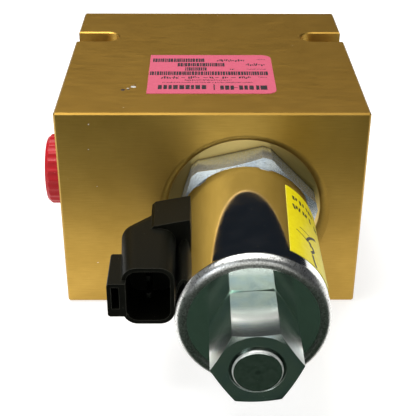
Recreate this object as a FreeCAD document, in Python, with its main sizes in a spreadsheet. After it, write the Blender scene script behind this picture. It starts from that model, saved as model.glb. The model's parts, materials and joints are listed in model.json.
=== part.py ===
import FreeCAD, Part
import math
import os
import re
import Sketcher
from FreeCAD import Placement, Rotation, Vector

# Solenoid directional valve: a three-way cartridge with its coil, in an aluminium manifold block.
#
# Model frame: +Z up, origin at the centre of the block's base, the coil pointing along -Y.
# Most pieces are turned about the valve axis, so their bodies share one local frame: local Z is the
# distance out of the block's front face along the valve axis, local X is the model's X and
# local Y is the model's Z. Depths inside the block are negative there.

DIMENSIONS = {
    # how far a cut runs past the faces it opens
    "beyond": 5.0,
    # manifold block
    "block_width": 88.9,
    "block_depth": 88.9,
    "block_height": 63.5,
    "block_edge": 0.5,
    "axis_side": 9.6,
    "axis_height": 31.6,
    "bolt_slot_width": 8.9,
    "bolt_slot_reach": 14.0,
    "bolt_slot_setback": 63.6,
    # cavity in the block
    "spotface_rim": 25.3,
    "spotface_floor": 22.6,
    "spotface_depth": 2.6,
    "thread_bore": 16.75,
    "thread_depth": 20.0,
    "upper_bore": 14.4,
    "upper_depth": 51.0,
    "lower_bore": 13.5,
    "lower_depth": 61.0,
    "nose_bore": 7.9,
    # ports, 3/4-16 straight thread
    "port_bore": 8.73,
    "port_mouth": 10.3,
    "port_mouth_depth": 1.6,
    "port_depth": 16.0,
    "gallery_bore": 6.0,
    "side_port_setback": 28.9,
    "work_port_setback": 46.5,
    # cartridge body
    "hex_flats": 38.1,
    "hex_turn": 13.6,
    "hex_front": 7.6,
    "hex_corner": 21.3,
    "hex_chamfer": 16.1,
    "hex_chamfer_angle": 25.0,
    "thread_radius": 16.67,
    "seal_relief": 14.7,
    "seal_relief_depth": 5.6,
    "cage_socket": 10.5,
    "cage_socket_depth": 12.0,
    "stem_bore": 5.2,
    "foot_socket": 9.45,
    "foot_rear": -0.5,
    # cage
    "cage_upper": 14.3,
    "cage_lower": 13.4,
    "cage_end": 60.0,
    "cage_step": 0.5,
    "cage_bore": 7.98,
    "upper_gland": 11.9,
    "upper_gland_top": 35.6,
    "lower_gland": 11.0,
    "lower_gland_top": 53.2,
    "gland_width": 4.6,
    "annulus_radius": 12.6,
    "tank_annulus_half": 4.2,
    "work_annulus_half": 3.9,
    "cage_hole": 2.5,
    "cage_holes": 3,
    "ring_groove": 8.9,
    "ring_groove_top": 57.6,
    "ring_inner": 6.68,
    "ring_thick": 1.0,
    "ring_play": 0.05,
    "ring_sweep": 320.0,
    "ring_turn": 20.0,
    # spool and stem
    "spool_radius": 7.94,
    "spool_top": 17.5,
    "spool_end": 57.3,
    "spool_edge": 0.3,
    "waist_radius": 5.2,
    "waist_top": 27.5,
    "waist_end": 45.8,
    "spool_bore": 4.2,
    "spool_bore_top": 49.6,
    "drill_point": 1.5,
    "cross_hole": 1.3,
    "cross_holes": 3,
    "cross_hole_at": 51.3,
    "balance_groove": 0.4,
    "balance_grooves": 3,
    "balance_first": 22.0,
    "balance_run": 4.0,
    "stem_radius": 2.4,
    "stem_thread": 2.0,
    "stem_thread_length": 6.0,
    "stem_thread_play": 0.5,
    "stem_head": 4.2,
    "stem_head_rear": 3.0,
    "stem_head_thick": 2.2,
    # armature, spring and pole piece
    "armature_radius": 7.05,
    "armature_rear": 0.5,
    "armature_front": 34.5,
    "armature_edge": 0.4,
    "slot_gap": 0.3,
    "spring_pocket": 4.2,
    "armature_pocket_depth": 7.0,
    "pole_rear": 37.9,
    "pole_pocket_depth": 5.0,
    "shim_thick": 0.2,
    "shim_inner": 4.4,
    "shim_outer": 7.0,
    "spring_mean": 3.3,
    "spring_wire": 0.4,
    "spring_pitch": 1.9,
    # guide tube and stub
    "tube_bore": 7.1,
    "tube_radius": 7.94,
    "tube_front": 52.0,
    "foot_radius": 9.4,
    "foot_length": 4.0,
    "foot_groove": 8.2,
    "foot_groove_half": 0.9,
    "lock_ring_inner": 7.98,
    "lock_ring_outer": 9.43,
    "lock_ring_thick": 2.18,
    "lock_ring_play": 0.02,
    "pole_flange_front": 54.0,
    "stub_radius": 5.95,
    "stub_front": 73.3,
    "stub_round": 0.8,
    "stub_pitch": 1.25,
    "stub_turns": 13,
    "stub_runout": 1.2,
    "thread_cut": 0.45,
    "thread_crest": 0.5,
    # coil
    "coil_bore": 8.02,
    "shell_radius": 19.48,
    "shell_wall": 2.0,
    "shell_rear": 7.9,
    "shell_front": 55.2,
    "shell_edge": 0.25,
    "rim_round": 2.55,
    "rim_inner": 16.5,
    "lip_round": 0.35,
    "rear_plate_thick": 2.0,
    "end_plate_rear": 51.2,
    "end_plate_thick": 3.0,
    "bobbin_core": 9.2,
    "bobbin_flange": 15.8,
    "flange_thick": 1.2,
    "winding_radius": 15.2,
    "sleeve_bore": 15.9,
    # connector
    "neck_rear": 9.9,
    "neck_front": 23.5,
    "neck_left": -26.5,
    "neck_root_half": 11.35,
    "neck_tip_half": 9.4,
    "neck_clip": 1.0,
    "neck_start": 12.0,
    "neck_bite": 0.8,
    "neck_fit": 0.05,
    "elbow_rear": 12.6,
    "elbow_front": 21.0,
    "elbow_inset": 1.5,
    "elbow_radius": 5.0,
    "elbow_left": -34.5,
    "shroud_left": -33.1,
    "shroud_right": -19.65,
    "shroud_half": 8.6,
    "shroud_front": 42.9,
    "shroud_round": 3.9,
    "shroud_wall": 1.1,
    "socket_depth": 14.0,
    "socket_round": 2.9,
    "latch_left": -36.8,
    "latch_half": 5.0,
    "latch_rear": 30.5,
    "latch_front": 44.7,
    "latch_wall": 1.1,
    "latch_sill": 2.4,
    "latch_depth": 9.0,
    "latch_gap": 0.6,
    "latch_round": 0.8,
    "pin_width": 1.5,
    "pin_half_pitch": 2.6,
    "pin_at": -26.5,
    "pin_front": 39.0,
    "pin_elbow": 17.6,
    "pin_root": -15.6,
    "pin_tip": 0.4,
    # coil nut
    "nut_flats": 19.05,
    "nut_turn": 3.2,
    "nut_rear": 54.35,
    "nut_front": 72.3,
    "nut_bore": 6.0,
    "nut_chamfer": 9.48,
    "nut_chamfer_angle": 20.0,
    "nut_mouth": 6.7,
    "nut_seal_inner": 7.3,
    "nut_seal_outer": 8.9,
    "nut_seal_depth": 1.5,
    # shipping plug in the side port
    "plug_head": 11.1,
    "plug_gap": 0.25,
    "plug_proud": 7.2,
    "plug_edge": 1.2,
    "plug_edge_inward": 1.0,
    "plug_shank": 8.67,
    "plug_shank_length": 11.0,
    "plug_lead": 1.0,
    "plug_thread_from": 2.0,
    "plug_thread_cut": 0.5,
    "plug_turns": 5,
    "port_pitch": 1.5875,
    "plug_hollow": 6.5,
    "plug_hollow_depth": 14.0,
    "plug_scallop": 3.0,
    "plug_scallop_depth": 0.3,
    "plug_scallop_from": 1.3,
    "plug_scallops": 24,
    # labels
    "label_thick": 0.12,
    "label_long": 38.1,
    "label_short": 31.75,
    "label_setback": 29.9,
    "label_corner": 3.0,
    "coil_label_rear": 13.2,
    "coil_label_front": 48.7,
    "coil_label_sweep": 95.0,
    "coil_label_start": -31.0,
    # seals: the ring's mean radius and the radius of its section
    "body_seal_ring": 15.7,
    "body_seal_section": 0.98,
    "body_seal_at": 4.05,
    "tube_seal_ring": 8.82,
    "tube_seal_section": 0.6,
    "rear_seal_ring": 8.72,
    "rear_seal_section": 0.68,
    "rear_seal_at": 6.85,
    "nut_seal_ring": 8.1,
    "nut_seal_section": 0.72,
    "nut_seal_at": 55.05,
    "plug_seal_ring": 9.2,
    "plug_seal_section": 0.45,
    "plug_seal_sunk": 0.3,
    "cage_seal_play": 0.04,
    "backup_width": 0.9,
    "backup_play": 0.05,
    "backup_bore_play": 0.08,
}

ORIGIN, H_AXIS, V_AXIS = -1, -1, -2
START, END = 1, 2
FUNCTIONS = ("cos", "tan", "sqrt")
TOL = 1e-6

doc = FreeCAD.newDocument("SolenoidValve")
sheet = doc.addObject("Spreadsheet::Sheet", "Dims")
for row, (alias, number) in enumerate(DIMENSIONS.items(), start=1):
    sheet.set("A%d" % row, str(number))
    sheet.setAlias("A%d" % row, alias)
doc.recompute()
parts = []


# ---------------------------------------------------------------- formulas, sketches and features

def cell(formula):
    """A formula in the sheet's words, as an expression: 'hex_front - 1' is 'Dims.hex_front - 1'."""
    def prefixed(word):
        return word.group() if word.group() in FUNCTIONS else "Dims." + word.group()
    return re.sub(r"[a-z_]{3,}", prefixed, str(formula))


def value(formula):
    return float(sheet.evalExpression(cell(formula)))


def bind(thing, prop, formula):
    thing.setExpression(prop, cell(formula))


def place(thing, along="0", turn=0):
    """Stand a piece on the valve axis, its own Z pointing out of the block."""
    quarter = Rotation(Vector(1, 0, 0), 90)
    thing.Placement = Placement(Vector(0, 0, 0), quarter.multiply(Rotation(Vector(0, 0, 1), turn)))
    bind(thing, "Placement.Base.x", "axis_side")
    bind(thing, "Placement.Base.y", "-block_depth / 2 - (%s)" % along)
    bind(thing, "Placement.Base.z", "axis_height")


def new_body(name, turn=0):
    body = doc.addObject("PartDesign::Body", name)
    body.Label = name
    place(body, turn=turn)
    parts.append(body)
    return body


def new_sketch(body, name, role, lift=None):
    """A sketch on one of the body's own origin planes, lifted off it by a formula."""
    sketch = body.newObject("Sketcher::SketchObject", name)
    plane = [item for item in body.Origin.OriginFeatures if item.Role == role][0]
    sketch.AttachmentSupport = [(plane, "")]
    sketch.MapMode = "FlatFace"
    if lift is not None:
        bind(sketch, "AttachmentOffset.Base.z", lift)
    return sketch


def fix(sketch, geometry, vertex, x, y):
    """Tie a vertex to formulas for its two coordinates."""
    for kind, axis, formula in (("DistanceX", V_AXIS, x), ("DistanceY", H_AXIS, y)):
        if abs(value(formula)) < TOL:
            sketch.addConstraint(Sketcher.Constraint("PointOnObject", geometry, vertex, axis))
        else:
            number = sketch.addConstraint(
                Sketcher.Constraint(kind, ORIGIN, START, geometry, vertex, value(formula)))
            bind(sketch, "Constraints[%d]" % number, formula)


def outline(sketch, corners):
    """A closed polygon through pairs of formulas."""
    points = [Vector(value(x), value(y), 0) for x, y in corners]
    ends = points[1:] + points[:1]
    sketch.addGeometry([Part.LineSegment(a, b) for a, b in zip(points, ends)], False)
    for n in range(len(points)):
        follower = (n + 1) % len(points)
        sketch.addConstraint(Sketcher.Constraint("Coincident", n, END, follower, START))
    for n, (x, y) in enumerate(corners):
        fix(sketch, n, START, x, y)


def circle(sketch, x, y, radius):
    centre = Vector(value(x), value(y), 0)
    ring = sketch.addGeometry(Part.Circle(centre, Vector(0, 0, 1), value(radius)), False)
    fix(sketch, ring, 3, x, y)
    number = sketch.addConstraint(Sketcher.Constraint("Radius", ring, value(radius)))
    bind(sketch, "Constraints[%d]" % number, radius)


def hexagon(sketch, flats, turn):
    """Six equal lines on a construction circle; turn is the first corner's angle from X."""
    radius = "%s / 2 / cos(30)" % flats
    size = value(radius)
    angles = [math.radians(value(turn) + 60 * n) for n in range(7)]
    points = [Vector(size * math.cos(a), size * math.sin(a), 0) for a in angles]
    sketch.addGeometry([Part.LineSegment(a, b) for a, b in zip(points[:6], points[1:])], False)
    ring = sketch.addGeometry(Part.Circle(Vector(0, 0, 0), Vector(0, 0, 1), size), True)
    sketch.addConstraint(Sketcher.Constraint("Coincident", ring, 3, ORIGIN, START))
    number = sketch.addConstraint(Sketcher.Constraint("Radius", ring, size))
    bind(sketch, "Constraints[%d]" % number, radius)
    for n in range(6):
        sketch.addConstraint(Sketcher.Constraint("Coincident", n, END, (n + 1) % 6, START))
        sketch.addConstraint(Sketcher.Constraint("PointOnObject", n, START, ring))
    for n in range(1, 6):
        sketch.addConstraint(Sketcher.Constraint("Equal", 0, n))
    fix_angle = Sketcher.Constraint("Angle", H_AXIS, START, 0, START, math.radians(value(turn) + 120))
    number = sketch.addConstraint(fix_angle)
    bind(sketch, "Constraints[%d]" % number, "%s + 120" % turn)


def box_corners(left, right, low, high):
    return [(left, low), (right, low), (right, high), (left, high)]


def finished(body, feature, cuts=False):
    """Recompute a feature and stop if a cut removed nothing or an addition added nothing."""
    before = body.Shape.Volume if body.Shape and not body.Shape.isNull() else 0.0
    doc.recompute()
    change = body.Shape.Volume - before
    if (cuts and change > -TOL) or (not cuts and change < TOL):
        raise RuntimeError("%s changed %s by %.4f" % (feature.Name, body.Name, change))
    return feature


def turned(body, name, corners, cuts=False, sweep=None, cross_axis=None):
    """Turn a profile of (radius, distance) about the valve axis, or about a cross axis at a depth."""
    sketch = new_sketch(body, name + "_profile", "XZ_Plane")
    outline(sketch, corners)
    axis = "V_Axis"
    if cross_axis is not None:
        ends = [Vector(value(x), value(cross_axis), 0) for x in ("-beyond", "beyond")]
        number = sketch.addGeometry(Part.LineSegment(*ends), True)
        fix(sketch, number, START, "-beyond", cross_axis)
        fix(sketch, number, END, "beyond", cross_axis)
        axis = "Axis0"
    feature = body.newObject("PartDesign::Groove" if cuts else "PartDesign::Revolution", name)
    feature.Profile = (sketch, [""])
    feature.ReferenceAxis = (sketch, [axis])
    feature.Angle = 360.0
    if sweep is not None:
        bind(feature, "Angle", sweep)
    return finished(body, feature, cuts)


def extruded(body, name, sketch, length, cuts=False, backwards=False, both_ways=False):
    feature = body.newObject("PartDesign::Pocket" if cuts else "PartDesign::Pad", name)
    feature.Profile = (sketch, [""])
    bind(feature, "Length", length)
    feature.Reversed = backwards
    if both_ways:
        feature.SideType = "Symmetric"
    return finished(body, feature, cuts)


def repeated(body, name, cut, count, length=None):
    """Repeat a cut round the piece's own Z, or along it over a length."""
    kind = "PolarPattern" if length is None else "LinearPattern"
    pattern = body.newObject("PartDesign::" + kind, name)
    pattern.Originals = [cut]
    if length is None:
        z_axis = [item for item in body.Origin.OriginFeatures if item.Role == "Z_Axis"][0]
        pattern.Axis = (z_axis, [""])
        pattern.Angle = 360.0
    else:
        pattern.Direction = (cut.Profile[0], ["V_Axis"])
        bind(pattern, "Length", length)
    bind(pattern, "Occurrences", count)
    body.Tip = pattern
    finished(body, pattern, cuts=True)


def edges_where(shape, test):
    return ["Edge%d" % n for n, edge in enumerate(shape.Edges, start=1) if test(edge)]


def at_height(edge, height):
    box = edge.BoundBox
    return abs(box.ZMin - value(height)) < TOL and abs(box.ZMax - value(height)) < TOL


def rims(shape, height, radius):
    """The round edges of a turned piece at a height, with a given radius."""
    return edges_where(shape, lambda edge: at_height(edge, height)
                       and abs(edge.Curve.Radius - value(radius)) < TOL)


def dressed(body, name, kind, edges, size):
    """Fillet or chamfer some edges of the body's newest feature."""
    base = body.Tip
    feature = body.newObject("PartDesign::" + kind, name)
    feature.Base = (base, edges)
    bind(feature, "Radius" if kind == "Fillet" else "Size", size)
    doc.recompute()


def o_ring(name, mean, section, along="0"):
    """A seal round the valve axis; mean, section and along are formulas."""
    ring = doc.addObject("Part::Torus", name)
    ring.Label = name
    bind(ring, "Radius1", mean)
    bind(ring, "Radius2", section)
    place(ring, along)
    parts.append(ring)
    return ring


def washer(name, inner, outer, rear, front):
    turned(new_body(name), name + "_ring", box_corners(inner, outer, rear, front))


# ---------------------------------------------------------------- the block

BLOCK_LEFT = "-(block_width / 2 + axis_side)"
BLOCK_RIGHT = "(block_width / 2 - axis_side)"
BLOCK_LOW = "-axis_height"
BLOCK_HIGH = "(block_height - axis_height)"


def cavity(body):
    """The stepped cavity from the spotface through to the port in the back face."""
    back_port = "-(block_depth - port_depth)"
    back_mouth = "-(block_depth - port_mouth_depth)"
    turned(body, "cavity", [
        ("0", "beyond"),
        ("spotface_rim", "beyond"),
        ("spotface_rim", "0"),
        ("spotface_floor", "-spotface_depth"),
        ("thread_bore", "-spotface_depth"),
        ("thread_bore", "-thread_depth"),
        ("upper_bore", "-thread_depth"),
        ("upper_bore", "-upper_depth"),
        ("lower_bore", "-upper_depth"),
        ("lower_bore", "-lower_depth"),
        ("nose_bore", "-lower_depth"),
        ("nose_bore", back_port),
        ("port_bore", back_port),
        ("port_bore", back_mouth),
        ("port_mouth", "-block_depth"),
        ("port_mouth", "-block_depth - beyond"),
        ("0", "-block_depth - beyond"),
    ], cuts=True)


def side_port(body, name, side, face, setback):
    """A threaded port in a side face, with its gallery to the cavity; side is 1 or -1."""
    def inward(depth):
        return "%s - %d * (%s)" % (face, side, depth)

    def off_axis(radius):
        return "%s - %s" % (radius, setback)
    turned(body, name, [
        (inward("-beyond"), off_axis("0")),
        (inward("-beyond"), off_axis("port_mouth")),
        (inward("0"), off_axis("port_mouth")),
        (inward("port_mouth_depth"), off_axis("port_bore")),
        (inward("port_depth"), off_axis("port_bore")),
        (inward("port_depth"), off_axis("gallery_bore")),
        ("0", off_axis("gallery_bore")),
        ("0", off_axis("0")),
    ], cuts=True, cross_axis="-" + setback)


def bolt_slot(body, name, side, face):
    """A U-shaped slot down a side of the block, with a half-round end."""
    end = "%s - %d * (bolt_slot_reach - bolt_slot_width / 2)" % (face, side)
    outside = "%s + %d * beyond" % (face, side)
    length = "block_height + 2 * beyond"
    near, far = ("-bolt_slot_setback %s bolt_slot_width / 2" % sign for sign in "-+")
    sketch = new_sketch(body, name + "_run", "XZ_Plane")
    outline(sketch, box_corners(end, outside, near, far))
    extruded(body, name, sketch, length, cuts=True, both_ways=True)
    sketch = new_sketch(body, name + "_end", "XZ_Plane")
    circle(sketch, end, "-bolt_slot_setback", "bolt_slot_width / 2")
    extruded(body, name + "_round", sketch, length, cuts=True, both_ways=True)


def on_slot_lip(edge):
    """Whether an edge is the lip of a bolt slot on the block's top or bottom face."""
    box = edge.BoundBox
    level = any(abs(box.YMin - value(y)) < TOL and abs(box.YMax - value(y)) < TOL
                for y in (BLOCK_LOW, BLOCK_HIGH))
    middle = (box.ZMin + box.ZMax) / 2 + value("bolt_slot_setback")
    beside = abs(box.Center.x + value("axis_side")) > value("block_width / 2 - bolt_slot_reach")
    return level and abs(middle) < value("bolt_slot_width / 2") + TOL and beside


def make_block():
    body = new_body("manifold_block")
    sketch = new_sketch(body, "block_outline", "XY_Plane")
    outline(sketch, box_corners(BLOCK_LEFT, BLOCK_RIGHT, BLOCK_LOW, BLOCK_HIGH))
    extruded(body, "block_pad", sketch, "block_depth", backwards=True)
    dressed(body, "block_edges", "Chamfer", ["Edge%d" % n for n in range(1, 13)], "block_edge")
    cavity(body)
    side_port(body, "tank_port", -1, BLOCK_LEFT, "side_port_setback")
    side_port(body, "work_port", 1, BLOCK_RIGHT, "work_port_setback")
    bolt_slot(body, "left_slot", -1, BLOCK_LEFT)
    bolt_slot(body, "right_slot", 1, BLOCK_RIGHT)
    lips = edges_where(body.Tip.Shape, on_slot_lip)
    dressed(body, "slot_lips", "Chamfer", lips, "block_edge * 0.8")


# ---------------------------------------------------------------- the cartridge

def make_cartridge_body():
    body = new_body("cartridge_body")
    sketch = new_sketch(body, "hex_outline", "XY_Plane", lift="-spotface_depth")
    hexagon(sketch, "hex_flats", "hex_turn")
    extruded(body, "hex_pad", sketch, "spotface_depth + hex_front")
    turned(body, "threaded_boss", [
        ("0", "-spotface_depth"),
        ("seal_relief", "-spotface_depth"),
        ("seal_relief", "-seal_relief_depth"),
        ("thread_radius", "-seal_relief_depth"),
        ("thread_radius", "-thread_depth"),
        ("0", "-thread_depth"),
    ])
    turned(body, "bores", [
        ("0", "-thread_depth - beyond"),
        ("cage_socket", "-thread_depth - beyond"),
        ("cage_socket", "-cage_socket_depth"),
        ("stem_bore", "-cage_socket_depth"),
        ("stem_bore", "foot_rear"),
        ("foot_socket", "foot_rear"),
        ("foot_socket", "hex_front + beyond"),
        ("0", "hex_front + beyond"),
    ], cuts=True)
    turned(body, "hex_corner_chamfer", [
        ("hex_chamfer", "hex_front"),
        ("hex_corner + beyond", "hex_front"),
        ("hex_corner + beyond", "-spotface_depth"),
        ("hex_corner", "-spotface_depth"),
        ("hex_corner", "hex_front - (hex_corner - hex_chamfer) * tan(hex_chamfer_angle)"),
    ], cuts=True)


def make_cage():
    """The ported sleeve: seal glands, two relieved rings of holes and a snap ring groove."""
    body = new_body("cartridge_cage")
    turned(body, "sleeve", [
        ("cage_bore", "-cage_socket_depth"),
        ("cage_socket", "-cage_socket_depth"),
        ("cage_socket", "-thread_depth"),
        ("cage_upper", "-thread_depth"),
        ("cage_upper", "-upper_depth + cage_step"),
        ("cage_lower", "-upper_depth + cage_step"),
        ("cage_lower", "-cage_end"),
        ("cage_bore", "-cage_end"),
    ])
    for gland in ("upper_gland", "lower_gland"):
        turned(body, gland + "_groove", box_corners(
            gland, "cage_upper + beyond", "-(%s_top + gland_width)" % gland, "-%s_top" % gland), cuts=True)
    for name, setback in (("tank", "side_port_setback"), ("work", "work_port_setback")):
        turned(body, name + "_annulus", box_corners(
            "annulus_radius", "cage_upper + beyond", "-(%s + %s_annulus_half)" % (setback, name),
            "-(%s - %s_annulus_half)" % (setback, name)), cuts=True)
        sketch = new_sketch(body, name + "_hole", "XZ_Plane")
        circle(sketch, "0", "-" + setback, "cage_hole")
        hole = extruded(body, name + "_holes", sketch, "(cage_upper + beyond) * 2", cuts=True,
                        both_ways=True)
        repeated(body, name + "_hole_ring", hole, "cage_holes")
    turned(body, "snap_groove", box_corners(
        "cage_bore - beyond", "ring_groove", "-(ring_groove_top + ring_thick + 2 * ring_play)",
        "-ring_groove_top"), cuts=True)


def make_retaining_ring():
    body = new_body("cage_retaining_ring", turn=value("ring_turn"))
    turned(body, "snap_ring", box_corners(
        "ring_inner", "ring_groove - 2 * ring_play", "-(ring_groove_top + ring_thick + ring_play)",
        "-(ring_groove_top + ring_play)"), sweep="ring_sweep")


def make_spool():
    body = new_body("spool")
    turned(body, "lands", [
        ("stem_thread", "-spool_top"),
        ("spool_radius - spool_edge", "-spool_top"),
        ("spool_radius", "-spool_top - spool_edge"),
        ("spool_radius", "-waist_top"),
        ("waist_radius", "-waist_top"),
        ("waist_radius", "-waist_end"),
        ("spool_radius", "-waist_end"),
        ("spool_radius", "-spool_end + spool_edge"),
        ("spool_radius - spool_edge", "-spool_end"),
        ("spool_bore", "-spool_end"),
        ("spool_bore", "-spool_bore_top"),
        ("0", "-spool_bore_top + drill_point"),
        ("0", "-spool_top - stem_thread_length"),
        ("stem_thread", "-spool_top - stem_thread_length"),
    ])
    sketch = new_sketch(body, "cross_hole_circle", "XZ_Plane")
    circle(sketch, "0", "-cross_hole_at", "cross_hole")
    hole = extruded(body, "cross_hole", sketch, "(spool_radius + beyond) * 2", cuts=True, both_ways=True)
    repeated(body, "cross_hole_ring", hole, "cross_holes")
    groove = turned(body, "balance_groove", box_corners(
        "spool_radius - balance_groove", "spool_radius + beyond", "-balance_first",
        "-balance_first + balance_groove"), cuts=True)
    repeated(body, "balance_grooves", groove, "balance_grooves", length="balance_run")


def make_spool_stem():
    """The T-headed link: screwed into the spool, its head loose in the armature's slot."""
    body = new_body("spool_stem")
    head_front = "stem_head_rear + stem_head_thick"
    screwed_in = "-spool_top - stem_thread_length + stem_thread_play"
    turned(body, "stem", [
        ("0", screwed_in),
        ("stem_thread", screwed_in),
        ("stem_thread", "-spool_top"),
        ("stem_radius", "-spool_top"),
        ("stem_radius", "stem_head_rear"),
        ("stem_head", "stem_head_rear"),
        ("stem_head", head_front + " - spool_edge"),
        ("stem_head - spool_edge", head_front),
        ("0", head_front),
    ])


def make_armature():
    body = new_body("armature")
    turned(body, "plunger", [
        ("0", "armature_rear"),
        ("armature_radius - armature_edge", "armature_rear"),
        ("armature_radius", "armature_rear + armature_edge"),
        ("armature_radius", "armature_front - armature_edge"),
        ("armature_radius - armature_edge", "armature_front"),
        ("spring_pocket", "armature_front"),
        ("spring_pocket", "armature_front - armature_pocket_depth"),
        ("0", "armature_front - armature_pocket_depth"),
    ])
    neck, head = "(stem_radius + slot_gap)", "(stem_head + slot_gap)"
    low, high = "stem_head_rear - slot_gap", "stem_head_rear + stem_head_thick + slot_gap"
    sketch = new_sketch(body, "stem_slot_outline", "XZ_Plane", lift=head)
    outline(sketch, [
        ("-" + neck, "armature_rear - beyond"),
        (neck, "armature_rear - beyond"),
        (neck, low),
        (head, low),
        (head, high),
        ("-" + head, high),
        ("-" + head, low),
        ("-" + neck, low),
    ])
    extruded(body, "stem_slot", sketch, "armature_radius * 2 + beyond", cuts=True)


def make_return_spring():
    """A coil spring between the armature's pocket and the pole piece's pocket."""
    rear = "(armature_front - armature_pocket_depth + spring_wire)"
    front = "(pole_rear + pole_pocket_depth - spring_wire)"
    helix = doc.addObject("Part::Helix", "spring_path")
    bind(helix, "Pitch", "spring_pitch")
    bind(helix, "Height", "%s - %s" % (front, rear))
    bind(helix, "Radius", "spring_mean")
    wire = doc.addObject("Part::Circle", "spring_section")
    bind(wire, "Radius", "spring_wire")
    wire.Placement = Placement(Vector(0, 0, 0), Rotation(Vector(1, 0, 0), 90))
    bind(wire, "Placement.Base.x", "spring_mean")
    spring = doc.addObject("Part::Sweep", "return_spring")
    spring.Sections = [wire]
    spring.Spine = (helix, [])
    spring.Solid = True
    spring.Frenet = True
    spring.Label = "return_spring"
    place(spring, rear)
    parts.append(spring)


def make_guide_tube():
    body = new_body("guide_tube")
    groove = "foot_rear + foot_length / 2"
    turned(body, "tube", [
        ("tube_bore", "foot_rear"),
        ("foot_radius", "foot_rear"),
        ("foot_radius", groove + " - foot_groove_half"),
        ("foot_groove", groove + " - foot_groove_half"),
        ("foot_groove", groove + " + foot_groove_half"),
        ("foot_radius", groove + " + foot_groove_half"),
        ("foot_radius", "foot_rear + foot_length"),
        ("tube_radius", "foot_rear + foot_length"),
        ("tube_radius", "tube_front"),
        ("tube_bore", "tube_front"),
    ])


def make_pole_piece():
    """The fixed core, welded into the tube's end, with the threaded stub that takes the nut."""
    body = new_body("pole_piece")
    turned(body, "core", [
        ("spring_pocket", "pole_rear"),
        ("tube_bore", "pole_rear"),
        ("tube_bore", "tube_front"),
        ("tube_radius", "tube_front"),
        ("tube_radius", "pole_flange_front"),
        ("stub_radius", "pole_flange_front"),
        ("stub_radius", "stub_front"),
        ("0", "stub_front"),
        ("0", "pole_rear + pole_pocket_depth"),
        ("spring_pocket", "pole_rear + pole_pocket_depth"),
    ])
    first = "(pole_flange_front + stub_runout)"
    ring = turned(body, "thread_ring", [
        ("stub_radius + thread_crest", first + " - stub_pitch / 2"),
        ("stub_radius + thread_crest", first + " + stub_pitch / 2"),
        ("stub_radius - thread_cut", first),
    ], cuts=True)
    repeated(body, "stub_thread", ring, "stub_turns", length="(stub_turns - 1) * stub_pitch")
    dressed(body, "stub_end_round", "Fillet", rims(body.Tip.Shape, "stub_front", "stub_radius"),
            "stub_round")


# ---------------------------------------------------------------- the coil

PIN_SIDES = (-1, 1)


def make_coil_shell():
    """The steel can: a rounded rim rolled over the end plate, and a slot for the connector's neck."""
    body = new_body("coil_shell")
    inner = "(shell_radius - shell_wall)"
    turned(body, "can", [
        (inner, "shell_rear"),
        ("shell_radius", "shell_rear"),
        ("shell_radius", "shell_front"),
        ("rim_inner", "shell_front"),
        ("rim_inner", "end_plate_rear + end_plate_thick"),
        (inner, "end_plate_rear + end_plate_thick"),
    ])
    for name, height, radius, size in (("rolled_rim", "shell_front", "shell_radius", "rim_round"),
                                       ("rear_edge", "shell_rear", "shell_radius", "shell_edge"),
                                       ("lip_edge", "shell_front", "rim_inner", "lip_round")):
        dressed(body, name, "Fillet", rims(body.Tip.Shape, height, radius), size)
    sketch = new_sketch(body, "neck_slot_outline", "YZ_Plane")
    outline(sketch, box_corners("-(neck_root_half + neck_fit)", "neck_root_half + neck_fit",
                                "neck_rear", "neck_front"))
    extruded(body, "neck_slot", sketch, "shell_radius + beyond", cuts=True)


def make_coil_inside():
    washer("coil_rear_plate", "coil_bore", "(shell_radius - shell_wall)",
           "shell_rear", "shell_rear + rear_plate_thick")
    washer("coil_end_plate", "coil_bore", "(shell_radius - shell_wall)",
           "end_plate_rear", "end_plate_rear + end_plate_thick")
    body = new_body("coil_bobbin")
    rear, front = "(shell_rear + rear_plate_thick)", "end_plate_rear"
    turned(body, "former", [
        ("coil_bore", rear),
        ("bobbin_flange", rear),
        ("bobbin_flange", rear + " + flange_thick"),
        ("bobbin_core", rear + " + flange_thick"),
        ("bobbin_core", front + " - flange_thick"),
        ("bobbin_flange", front + " - flange_thick"),
        ("bobbin_flange", front),
        ("coil_bore", front),
    ])
    washer("coil_winding", "bobbin_core", "winding_radius",
           rear + " + flange_thick", front + " - flange_thick")


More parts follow.
